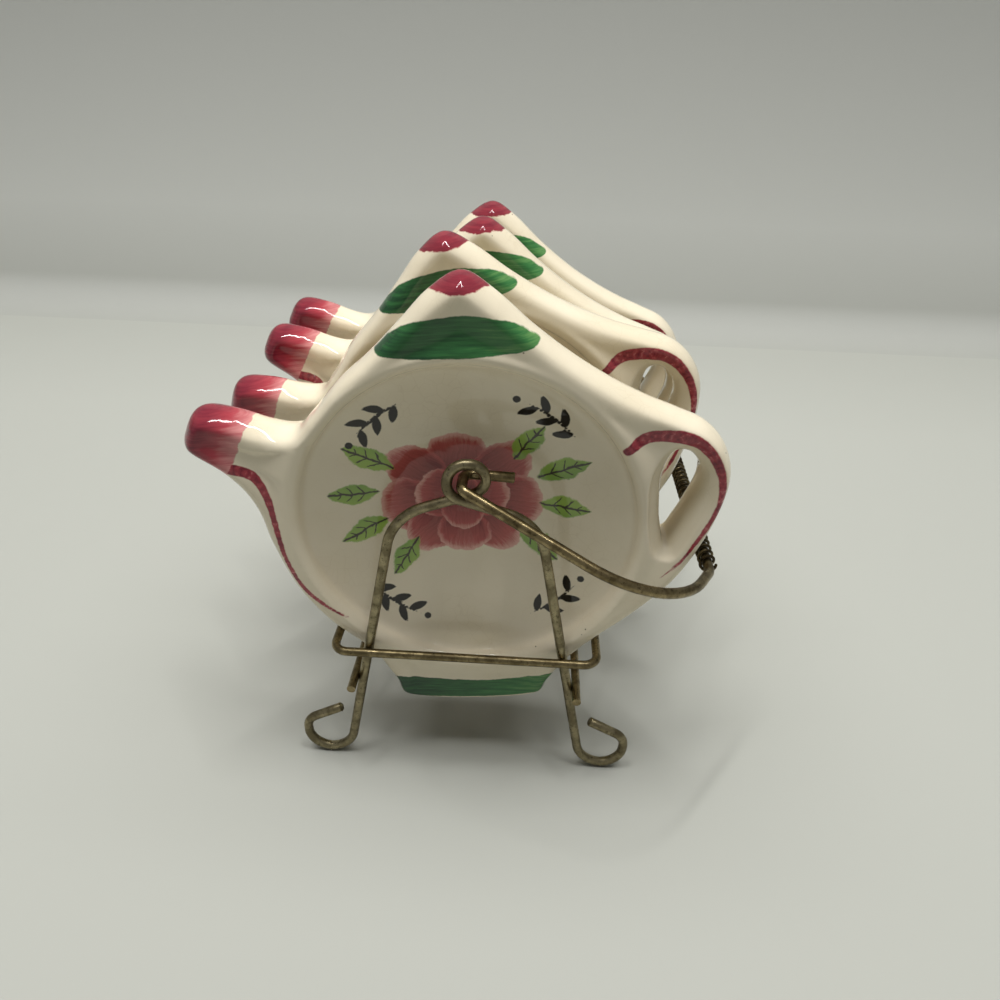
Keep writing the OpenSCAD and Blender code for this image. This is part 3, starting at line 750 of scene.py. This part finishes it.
def paintedGlaze():
    # slip-cast earthenware under a clear cream glaze with brushed underglaze colours: a wet gloss with
    # faint waves, a net of fine crazing about 2 mm across and a few pinholes; the real crazing is under
    # 0.05 mm wide and is drawn twice that
    material, tree = newMaterial("paintedCreamGlaze")
    place = addNode(tree, "ShaderNodeAttribute", attribute_name="restPlace").outputs["Vector"]
    number = addNode(tree, "ShaderNodeAttribute", attribute_name="castNumber").outputs["Fac"]
    shift = addNode(tree, "ShaderNodeCombineXYZ", {"X": number, "Y": number, "Z": number}).outputs[0]
    spread = addNode(tree, "ShaderNodeVectorMath", {0: shift, 1: grain["shiftPerRest"]}, operation="MULTIPLY")
    own = addNode(tree, "ShaderNodeVectorMath", {0: place, 1: spread.outputs[0]}, operation="ADD").outputs[0]

    # hand wobble of every edge: the place moves by a few tenths of a millimetre
    wobble = addNode(tree, "ShaderNodeTexNoise", {
        "Vector": own, "Scale": grain["wobble"], "Detail": 3, "Roughness": 0.6}).outputs["Color"]
    centred = addNode(tree, "ShaderNodeVectorMath", {0: wobble, 1: (-0.5, -0.5, -0.5)}, operation="ADD")
    sway = (grain["wobbleReach"], 0.0, grain["wobbleReach"])
    moved = addNode(tree, "ShaderNodeVectorMath", {0: centred.outputs[0], 1: sway, 2: place},
                    operation="MULTIPLY_ADD").outputs[0]
    axes = addNode(tree, "ShaderNodeSeparateXYZ", {"Vector": moved})
    x, z = axes.outputs["X"], axes.outputs["Z"]
    depth = addNode(tree, "ShaderNodeSeparateXYZ", {"Vector": place}).outputs["Y"]
    plane = addNode(tree, "ShaderNodeCombineXYZ", {"X": x, "Y": z}).outputs[0]
    front = addNode(tree, "ShaderNodeMapRange", {
        "Value": depth, "From Min": limit["wellFront"][0], "From Max": limit["wellFront"][1]}).outputs[0]
    outer = addNode(tree, "ShaderNodeMapRange", {
        "Value": depth, "From Min": limit["edgeFront"][0], "From Max": limit["edgeFront"][1]}).outputs[0]

    # brush streaks: noise drawn out along x for bands and evenly for washes
    streak = addNode(tree, "ShaderNodeMapping", {"Vector": own, "Scale": grain["streaks"]})
    streaks = addNode(tree, "ShaderNodeTexNoise", {
        "Vector": streak.outputs[0], "Scale": 1.0, "Detail": 4, "Roughness": 0.6}).outputs["Fac"]
    wash = addNode(tree, "ShaderNodeTexNoise", {
        "Vector": own, "Scale": grain["wash"], "Detail": 4, "Roughness": 0.65}).outputs["Fac"]

    # glaze with broad tone changes and crazing
    broad = addNode(tree, "ShaderNodeTexNoise", {
        "Vector": own, "Scale": grain["broad"], "Detail": 3}).outputs["Fac"]
    tone = addNode(tree, "ShaderNodeMapRange", {
        "Value": broad, "From Min": glaze["deepPatches"][0], "From Max": glaze["deepPatches"][1],
        "To Max": glaze["deepShare"]}).outputs[0]
    colour = addNode(tree, "ShaderNodeMix", {
        "Factor": tone, "A": linear(glaze["cream"]), "B": linear(glaze["creamDeep"])},
        data_type="RGBA").outputs["Result"]
    bent = addNode(tree, "ShaderNodeVectorMath", {0: wobble, 1: [grain["crazingReach"]] * 3, 2: own},
                   operation="MULTIPLY_ADD").outputs[0]
    cells = addNode(tree, "ShaderNodeTexVoronoi", {"Vector": bent, "Scale": grain["crazing"]},
                    feature="DISTANCE_TO_EDGE").outputs["Distance"]
    crack = addNode(tree, "ShaderNodeMapRange", {
        "Value": cells, "From Min": crazing["crack"][0], "From Max": crazing["crack"][1]}).outputs[0]
    faint = addNode(tree, "ShaderNodeMapRange", {
        "Value": broad, "From Min": crazing["patches"][0], "From Max": crazing["patches"][1],
        "To Min": crazing["strength"][0], "To Max": crazing["strength"][1]}).outputs[0]
    net = addNode(tree, "ShaderNodeMath", {0: crack, 1: faint}, operation="MULTIPLY").outputs[0]
    colour = addNode(tree, "ShaderNodeMix", {"Factor": net, "A": colour, "B": linear(glaze["craze"])},
                     data_type="RGBA").outputs["Result"]

    # rose petals, laid one over another: a crimson oval streaked by the brush from its foot, deepest at
    # the foot, and worn pale along its outer rim
    for px, pz, long, wide, angle, dark in petals:
        shape = addNode(tree, "ShaderNodeMapping", {
            "Vector": plane, "Location": (px, pz, 0), "Rotation": (0, 0, math.radians(angle)),
            "Scale": (long, wide, 1)}, vector_type="TEXTURE").outputs[0]
        away = addNode(tree, "ShaderNodeVectorMath", {0: shape}, operation="LENGTH").outputs["Value"]
        ragged = addNode(tree, "ShaderNodeMath", {0: wash, 1: petalPaint["ragged"], 2: away},
                         operation="MULTIPLY_ADD").outputs[0]
        inside = addNode(tree, "ShaderNodeMapRange", {
            "Value": ragged, "From Min": petalPaint["edge"][0], "From Max": petalPaint["edge"][1],
            "To Max": petalPaint["cover"]}).outputs[0]
        brush = addNode(tree, "ShaderNodeMapping", {"Vector": shape, "Scale": petalPaint["brush"]}).outputs[0]
        hairs = addNode(tree, "ShaderNodeTexNoise", {
            "Vector": brush, "Scale": petalPaint["hairs"], "Detail": 4, "Roughness": 0.7}).outputs["Fac"]
        along = addNode(tree, "ShaderNodeSeparateXYZ", {"Vector": shape}).outputs["X"]
        darker = petalPaint["darkening"] * dark
        deep = addNode(tree, "ShaderNodeMapRange", {
            "Value": along, "From Min": petalPaint["way"][0], "From Max": petalPaint["way"][1],
            "To Min": petalPaint["tones"][0] + darker, "To Max": petalPaint["tones"][1] + darker}).outputs[0]
        fold = addNode(tree, "ShaderNodeMapRange", {
            "Value": ragged, "From Min": petalPaint["fold"][0], "From Max": petalPaint["fold"][1],
            "To Max": petalPaint["foldPale"]}, interpolation_type="SMOOTHSTEP").outputs[0]
        deepen = addNode(tree, "ShaderNodeMath", {0: hairs, 1: petalPaint["hairTone"], 2: deep},
                         operation="MULTIPLY_ADD").outputs[0]
        deepen = addNode(tree, "ShaderNodeMath", {0: deepen, 1: fold}, operation="SUBTRACT").outputs[0]
        tint = addNode(tree, "ShaderNodeValToRGB", {"Fac": deepen}, zip(
            petalPaint["toneShares"], (glaze["petalPale"], glaze["petal"], glaze["petalDark"])))
        laid = addNode(tree, "ShaderNodeMath", {0: inside, 1: front}, operation="MULTIPLY").outputs[0]
        colour = addNode(tree, "ShaderNodeMix", {"Factor": laid, "A": colour, "B": tint.outputs["Color"]},
                         data_type="RGBA").outputs["Result"]

    # leaves: a lens 1 - u2 - |v|, washed in with a dark midrib and slanting veins
    for px, pz, long, wide, angle, warm in leaves:
        shape = addNode(tree, "ShaderNodeMapping", {
            "Vector": plane, "Location": (px, pz, 0), "Rotation": (0, 0, math.radians(angle)),
            "Scale": (long, wide, 1)}, vector_type="TEXTURE").outputs[0]
        uv = addNode(tree, "ShaderNodeSeparateXYZ", {"Vector": shape}).outputs
        u, v = uv["X"], uv["Y"]
        off = addNode(tree, "ShaderNodeMath", {0: v}, operation="ABSOLUTE").outputs[0]
        squared = addNode(tree, "ShaderNodeMath", {0: u, 1: u}, operation="MULTIPLY").outputs[0]
        lens = addNode(tree, "ShaderNodeMath", {0: squared, 1: off}, operation="ADD").outputs[0]
        soft = addNode(tree, "ShaderNodeMath", {0: wash, 1: leafPaint["ragged"], 2: lens},
                       operation="MULTIPLY_ADD").outputs[0]
        inside = addNode(tree, "ShaderNodeMapRange", {
            "Value": soft, "From Min": leafPaint["edge"][0], "From Max": leafPaint["edge"][1],
            "To Max": leafPaint["cover"]}).outputs[0]
        low, high = (tone + warmth * warm for tone, warmth in zip(leafPaint["tones"], leafPaint["warming"]))
        lit = addNode(tree, "ShaderNodeMapRange", {
            "Value": v, "From Min": -leafPaint["across"], "From Max": leafPaint["across"],
            "To Min": low, "To Max": high}).outputs[0]
        mottled = addNode(tree, "ShaderNodeMath", {0: lit, 1: wash, 2: lit},
                          operation="MULTIPLY_ADD").outputs[0]
        tint = addNode(tree, "ShaderNodeMix", {
            "Factor": mottled, "A": linear(glaze["leaf"]), "B": linear(glaze["leafWarm"])},
            data_type="RGBA").outputs["Result"]
        slant = addNode(tree, "ShaderNodeMath", {0: off, 1: -leafPaint["veinSlant"], 2: u},
                        operation="MULTIPLY_ADD").outputs[0]
        comb = addNode(tree, "ShaderNodeMath", {0: slant, 1: leafPaint["veinPitch"]},
                       operation="PINGPONG").outputs[0]
        vein = addNode(tree, "ShaderNodeMapRange", {
            "Value": comb, "From Min": leafPaint["vein"][0], "From Max": leafPaint["vein"][1]}).outputs[0]
        kept = addNode(tree, "ShaderNodeMapRange", {
            "Value": lens, "From Min": leafPaint["veinEnd"][0],
            "From Max": leafPaint["veinEnd"][1]}).outputs[0]
        veins = addNode(tree, "ShaderNodeMath", {0: vein, 1: kept}, operation="MULTIPLY").outputs[0]
        spine = addNode(tree, "ShaderNodeMapRange", {
            "Value": off, "From Min": leafPaint["rib"][0], "From Max": leafPaint["rib"][1]}).outputs[0]
        length = addNode(tree, "ShaderNodeMapRange", {
            "Value": squared, "From Min": leafPaint["ribEnd"][0],
            "From Max": leafPaint["ribEnd"][1]}).outputs[0]
        rib = addNode(tree, "ShaderNodeMath", {0: spine, 1: length}, operation="MULTIPLY").outputs[0]
        lines = addNode(tree, "ShaderNodeMath", {0: veins, 1: rib}, operation="MAXIMUM").outputs[0]
        drawn = addNode(tree, "ShaderNodeMix", {"Factor": lines, "A": tint, "B": linear(glaze["ink"])},
                        data_type="RGBA").outputs["Result"]
        laid = addNode(tree, "ShaderNodeMath", {0: inside, 1: front}, operation="MULTIPLY").outputs[0]
        colour = addNode(tree, "ShaderNodeMix", {"Factor": laid, "A": colour, "B": drawn},
                         data_type="RGBA").outputs["Result"]

    # green lens on the lid and green strip on the foot, deeper to the left
    edge = addNode(tree, "ShaderNodeAttribute", attribute_name="greenEdge").outputs["Fac"]
    worn = addNode(tree, "ShaderNodeMath", {0: wash, 1: greenPaint["ragged"], 2: edge},
                   operation="MULTIPLY_ADD").outputs[0]
    patch = addNode(tree, "ShaderNodeMapRange", {
        "Value": worn, "From Min": greenPaint["edge"][0], "From Max": greenPaint["edge"][1]}).outputs[0]
    laid = addNode(tree, "ShaderNodeMath", {0: patch, 1: outer}, operation="MULTIPLY").outputs[0]
    lift = addNode(tree, "ShaderNodeMapRange", {
        "Value": x, "From Min": -greenPaint["across"], "From Max": greenPaint["across"],
        "To Min": greenPaint["tones"][0], "To Max": greenPaint["tones"][1]}).outputs[0]
    greenTone = addNode(tree, "ShaderNodeMath", {0: streaks, 1: greenPaint["streakTone"], 2: lift},
                        operation="MULTIPLY_ADD").outputs[0]
    greens = addNode(tree, "ShaderNodeValToRGB", {"Fac": greenTone}, zip(
        greenPaint["toneShares"], (glaze["greenDark"], glaze["green"], glaze["greenPale"])))
    colour = addNode(tree, "ShaderNodeMix", {"Factor": laid, "A": colour, "B": greens.outputs["Color"]},
                     data_type="RGBA").outputs["Result"]

    # crimson spout tip, knob and brush lines, streaked across
    soft = limit["capEdge"]
    toTip = addNode(tree, "ShaderNodeVectorMath", {0: plane, 1: limit["spoutWay"]},
                    operation="DOT_PRODUCT").outputs["Value"]
    past = addNode(tree, "ShaderNodeMath", {0: toTip, 1: -limit["spoutCap"]}, operation="ADD").outputs[0]
    tip = addNode(tree, "ShaderNodeMapRange", {"Value": past, "From Min": -soft, "From Max": soft}).outputs[0]
    bow = addNode(tree, "ShaderNodeMath", {0: x, 1: x}, operation="MULTIPLY").outputs[0]
    arch = addNode(tree, "ShaderNodeMath", {0: bow, 1: limit["knobBow"], 2: limit["knobCap"]},
                   operation="MULTIPLY_ADD").outputs[0]
    rise = addNode(tree, "ShaderNodeMath", {0: z, 1: arch}, operation="SUBTRACT").outputs[0]
    knob = addNode(tree, "ShaderNodeMapRange", {
        "Value": rise, "From Min": -soft, "From Max": soft}).outputs[0]
    edge = addNode(tree, "ShaderNodeAttribute", attribute_name="lineEdge").outputs["Fac"]
    worn = addNode(tree, "ShaderNodeMath", {0: wash, 1: redPaint["ragged"], 2: edge},
                   operation="MULTIPLY_ADD").outputs[0]
    line = addNode(tree, "ShaderNodeMapRange", {
        "Value": worn, "From Min": redPaint["edge"][0], "From Max": redPaint["edge"][1]}).outputs[0]
    lineFront = addNode(tree, "ShaderNodeMath", {0: line, 1: outer}, operation="MULTIPLY").outputs[0]
    caps = addNode(tree, "ShaderNodeMath", {0: tip, 1: knob}, operation="MAXIMUM").outputs[0]
    laid = addNode(tree, "ShaderNodeMath", {0: caps, 1: lineFront}, operation="MAXIMUM").outputs[0]
    across = addNode(tree, "ShaderNodeAttribute", attribute_name="lineAlong").outputs["Fac"]
    hatchPlace = addNode(tree, "ShaderNodeCombineXYZ", {"X": across, "Y": edge}).outputs[0]
    hatch = addNode(tree, "ShaderNodeTexNoise", {
        "Vector": hatchPlace, "Scale": grain["hatch"], "Detail": 3}).outputs["Fac"]
    tipTone = addNode(tree, "ShaderNodeMapRange", {
        "Value": past, "From Max": redPaint["capLength"], "To Min": redPaint["capTones"][0],
        "To Max": redPaint["capTones"][1]}).outputs[0]
    topTone = addNode(tree, "ShaderNodeMix", {
        "Factor": knob, "A": tipTone, "B": redPaint["knobTone"]}).outputs["Result"]
    calm = addNode(tree, "ShaderNodeMath", {0: streaks, 1: redPaint["streakTone"], 2: redPaint["baseTone"]},
                   operation="MULTIPLY_ADD").outputs[0]
    capTone = addNode(tree, "ShaderNodeMath", {0: calm, 1: topTone}, operation="ADD").outputs[0]
    redTone = addNode(tree, "ShaderNodeMix", {"Factor": caps, "A": hatch, "B": capTone}).outputs["Result"]
    reds = addNode(tree, "ShaderNodeValToRGB", {"Fac": redTone}, zip(
        redPaint["toneShares"], (glaze["crimsonPale"], glaze["crimson"], glaze["crimsonDark"])))
    colour = addNode(tree, "ShaderNodeMix", {"Factor": laid, "A": colour, "B": reds.outputs["Color"]},
                     data_type="RGBA").outputs["Result"]

    # black sprigs, worn thin in places
    edge = addNode(tree, "ShaderNodeAttribute", attribute_name="inkEdge").outputs["Fac"]
    worn = addNode(tree, "ShaderNodeMath", {0: wash, 1: inkPaint["ragged"], 2: edge},
                   operation="MULTIPLY_ADD").outputs[0]
    stroke = addNode(tree, "ShaderNodeMapRange", {
        "Value": worn, "From Min": inkPaint["edge"][0], "From Max": inkPaint["edge"][1],
        "To Max": inkPaint["cover"]}).outputs[0]
    laid = addNode(tree, "ShaderNodeMath", {0: stroke, 1: front}, operation="MULTIPLY").outputs[0]
    colour = addNode(tree, "ShaderNodeMix", {"Factor": laid, "A": colour, "B": linear(glaze["ink"])},
                     data_type="RGBA").outputs["Result"]

    # pinholes: tiny dark dots in a few of the cells of a 5 mm net
    dots = addNode(tree, "ShaderNodeTexVoronoi", {"Vector": own, "Scale": grain["pinholes"]}).outputs
    near = addNode(tree, "ShaderNodeMapRange", {
        "Value": dots["Distance"], "From Min": pinhole["edge"][0], "From Max": pinhole["edge"][1]}).outputs[0]
    pick = addNode(tree, "ShaderNodeSeparateColor", {"Color": dots["Color"]}).outputs[0]
    chosen = addNode(tree, "ShaderNodeMath", {0: pick, 1: pinhole["rarity"]},
                     operation="GREATER_THAN").outputs[0]
    speck = addNode(tree, "ShaderNodeMath", {0: near, 1: chosen}, operation="MULTIPLY").outputs[0]
    colour = addNode(tree, "ShaderNodeMix", {"Factor": speck, "A": colour, "B": linear(glaze["speck"])},
                     data_type="RGBA").outputs["Result"]

    # the unglazed foot ring
    bare = addNode(tree, "ShaderNodeMapRange", {
        "Value": depth, "From Min": limit["footRing"][0], "From Max": limit["footRing"][1]}).outputs[0]
    colour = addNode(tree, "ShaderNodeMix", {"Factor": bare, "A": colour, "B": linear(glaze["bare"])},
                     data_type="RGBA").outputs["Result"]
    gloss = addNode(tree, "ShaderNodeMapRange", {
        "Value": bare, "To Min": glaze["gloss"], "To Max": glaze["bareRoughness"]}).outputs[0]

    # faint waves in the glaze, with a dip at each pinhole
    wave = addNode(tree, "ShaderNodeTexNoise", {
        "Vector": own, "Scale": grain["waves"], "Detail": 2}).outputs["Fac"]
    dip = addNode(tree, "ShaderNodeMath", {0: speck, 1: -pinhole["dip"], 2: wave},
                  operation="MULTIPLY_ADD").outputs[0]
    bump = addNode(tree, "ShaderNodeBump", {
        "Height": dip, "Strength": glaze["waveStrength"], "Distance": glaze["waveDepth"]})
    shader = addNode(tree, "ShaderNodeBsdfPrincipled", {
        "Base Color": colour, "Roughness": gloss, "IOR": glaze["ior"], "Normal": bump.outputs["Normal"]})
    addNode(tree, "ShaderNodeOutputMaterial", {"Surface": shader.outputs[0]})
    return material


creamGlaze = paintedGlaze()
print("glaze painted")

for piece, node, body, slot, finish in (
        (frontFrame, "front_frame", "stand", "brass_wire", legBrass),
        (rearFrame, "rear_frame", "stand", "brass_wire", legBrass),
        (bailWire, "bail_handle", "bail", "brass_wire", bailBrass),
        (gripSpring, "grip_spring", "bail", "spring_steel", springWire),
        (rests[0], "rest_1", "rest_one", "glaze", creamGlaze),
        (rests[1], "rest_2", "rest_two", "glaze", creamGlaze),
        (rests[2], "rest_3", "rest_three", "glaze", creamGlaze),
        (rests[3], "rest_4", "rest_four", "glaze", creamGlaze)):
    piece.data.materials.clear()
    piece.data.materials.append(finish)
    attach(piece, body)
    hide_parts(node)

for name in ("tray_ring", "left_rail", "right_rail"):
    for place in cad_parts[name].material_slots:
        place.material = barBrass
print("finishes laid on")


# Table, light and camera

stage = {
    "floorColour": "#adaea6",
    "roughness": 0.8,
    # painted shade on the wall: its colour runs darker at its foot by the floor and darker again towards its
    # top, graded by height up to fadeHeight
    "wallPaintedShades": ("#a9aaa3", "#cbccc6", "#d3d4cf", "#b0b1ac"),
    "toneShares": (0.0, 0.12, 0.38, 1.0),
    "wallAt": 0.262,
    "bend": 0.02,
    "bendRows": 16,
    "halfWidth": 2.0,
    "front": -1.2,
    "wallHeight": 0.5,
    "fadeHeight": 0.16,
}


def plainSheet(name, places, tones):
    # a straight sheet: a row of (y, z) places carried from left to right, with its colour graded from its
    # foot upwards, which on the wall is painted shade
    places = np.array(places)
    x = np.repeat([-stage["halfWidth"], stage["halfWidth"]], len(places))
    points = np.column_stack([x, np.tile(places, (2, 1))])
    k = np.arange(len(places) - 1)
    quads = np.stack([k, k + len(places), k + len(places) + 1, k + 1], 1)
    sheet = makeObject(name, points, quads.tolist())
    material, tree = newMaterial(name + "Paper")
    place = addNode(tree, "ShaderNodeTexCoord").outputs["Object"]
    height = addNode(tree, "ShaderNodeSeparateXYZ", {"Vector": place}).outputs["Z"]
    rise = addNode(tree, "ShaderNodeMapRange", {"Value": height, "From Max": stage["fadeHeight"]}).outputs[0]
    # painted shade: the colour changes with height; the wall's stops are darker at its foot and its top, the
    # floor's are all one colour
    tint = addNode(tree, "ShaderNodeValToRGB", {"Fac": rise}, zip(stage["toneShares"], tones))
    shader = addNode(tree, "ShaderNodeBsdfPrincipled", {
        "Base Color": tint.outputs["Color"], "Roughness": stage["roughness"]})
    addNode(tree, "ShaderNodeOutputMaterial", {"Surface": shader.outputs[0]})
    sheet.data.materials.append(material)


bend = stage["bend"]
floorEnd = stage["wallAt"] - bend
turns = np.linspace(0, math.pi / 2, stage["bendRows"])
cove = [(floorEnd + bend * math.sin(t), bend * (1 - math.cos(t))) for t in turns]
plainSheet("floor", [(stage["front"], 0), (floorEnd, 0)], [stage["floorColour"]] * len(stage["wallPaintedShades"]))
# the wall and its cove, with painted shade graded by height
plainSheet("wall", cove + [(stage["wallAt"], stage["wallHeight"])], stage["wallPaintedShades"])

# a wide soft lamp that doesn't show in the gloss, and two tubes that give the gloss its narrow lights
lights = {
    "overhead": {
        "place": (0.0, 0.04, 1.0), "size": (1.5, 0.7), "turn": 0, "power": 11.0, "inGloss": False},
    "leftTube": {
        "place": (-0.14, -0.07, 0.88), "size": (0.022, 0.42), "turn": -38, "power": 2.0, "inGloss": True},
    "rightTube": {
        "place": (0.12, -0.07, 0.88), "size": (0.022, 0.42), "turn": 38, "power": 2.0, "inGloss": True},
}
# the room's strength as light on everything, and what the camera and the gloss see of it besides
room = {
    "colour": (1.0, 1.0, 0.97, 1.0),
    "fill": 0.1,
    "seen": 0.3,
    "mirrored": 0.2,
}
for name, lamp in lights.items():
    panel = bpy.data.lights.new(name, "AREA")
    panel.shape = "RECTANGLE"
    panel.size, panel.size_y = lamp["size"]
    panel.energy = lamp["power"]
    panelObject = bpy.data.objects.new(name, panel)
    panelObject.location = lamp["place"]
    panelObject.rotation_euler = (0, 0, math.radians(lamp["turn"]))
    panelObject.visible_glossy = lamp["inGloss"]
    bpy.context.scene.collection.objects.link(panelObject)
world = bpy.data.worlds.new("studio")
world.use_nodes = True
paths = addNode(world.node_tree, "ShaderNodeLightPath").outputs
mirrored = addNode(world.node_tree, "ShaderNodeMath", {
    0: paths["Is Glossy Ray"], 1: room["mirrored"], 2: room["fill"]}, operation="MULTIPLY_ADD").outputs[0]
strength = addNode(world.node_tree, "ShaderNodeMath", {
    0: paths["Is Camera Ray"], 1: room["seen"], 2: mirrored}, operation="MULTIPLY_ADD")
background = world.node_tree.nodes["Background"]
background.inputs["Color"].default_value = room["colour"]
world.node_tree.links.new(strength.outputs[0], background.inputs["Strength"])
bpy.context.scene.world = world

view = {
    "place": (10.27, -163.53, 138.28),
    "yaw": 0.0357,
    "pitch": 0.5418,
    "roll": 0.0327,
    "focalPixels": 751.0,
    "imagePixels": 1000.0,
    "sensorWidth": 36.0,
}


def placeCamera():
    # forward from yaw and pitch; right lies level and is then rolled about forward
    yaw, pitch, roll = view["yaw"], view["pitch"], view["roll"]
    forward = np.array([-math.sin(yaw) * math.cos(pitch), math.cos(yaw) * math.cos(pitch), -math.sin(pitch)])
    level = np.array([math.cos(yaw), math.sin(yaw), 0.0])
    up = np.cross(level, forward)
    right = math.cos(roll) * level + math.sin(roll) * up
    top = -math.sin(roll) * level + math.cos(roll) * up
    lens = bpy.data.cameras.new("photoCamera")
    lens.sensor_width = view["sensorWidth"]
    lens.lens = view["sensorWidth"] * view["focalPixels"] / view["imagePixels"]
    camera = bpy.data.objects.new("photoCamera", lens)
    turn = Matrix(np.column_stack([right, top, -forward]).tolist()).to_4x4()
    camera.matrix_world = Matrix.Translation([v * mm for v in view["place"]]) @ turn
    bpy.context.scene.collection.objects.link(camera)
    bpy.context.scene.camera = camera


placeCamera()
bpy.context.scene.view_settings.view_transform = "Standard"
print("stage, light and camera set")
